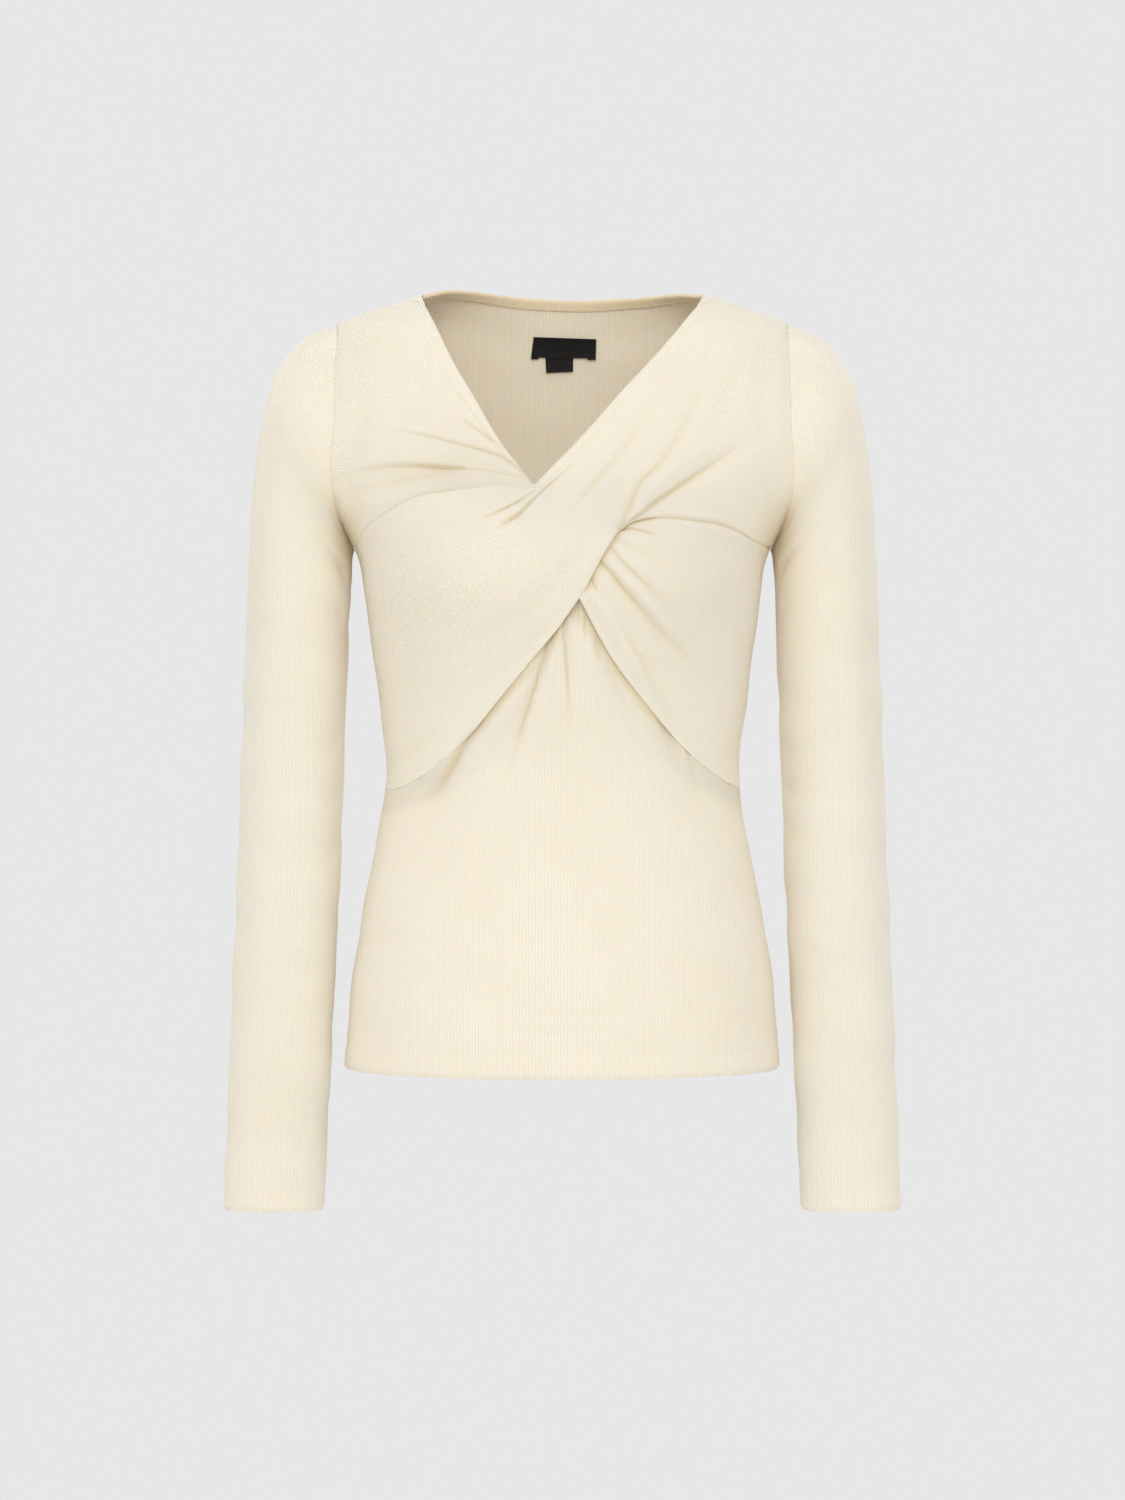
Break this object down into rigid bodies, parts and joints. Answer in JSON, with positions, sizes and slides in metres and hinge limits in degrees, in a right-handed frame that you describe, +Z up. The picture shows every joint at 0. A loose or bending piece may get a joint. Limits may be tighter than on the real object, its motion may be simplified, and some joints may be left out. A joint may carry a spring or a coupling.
{
  "type": "twist-front knit top",
  "caption": "Long-sleeved rib-knit top with crossed, twisted front bands, a V neck and a fitted waist, filled out as worn.",
  "frame": {"origin": "midway between the two high shoulder points, where the wearer's shoulders hold the top up", "axes": "+Z up, the front faces -Y, +X is on the right of someone who looks at the front"},
  "size_m": [0.4836, 0.2424, 0.6616],
  "materials": {
    "rib_knit": "fine cream rib knit",
    "binding": "narrow knit binding, warmer cream",
    "woven_tape": "black woven tape, bare"
  },
  "bodies": {
    "root": {"back": "rib_knit", "front_cross_over": "rib_knit", "front_cross_under": "rib_knit", "front_lower": "rib_knit", "sleeve_left": "rib_knit", "sleeve_right": "rib_knit", "neck_band": "binding", "label": "woven_tape", "size_tab": "woven_tape"}
  },
  "joints": []
}
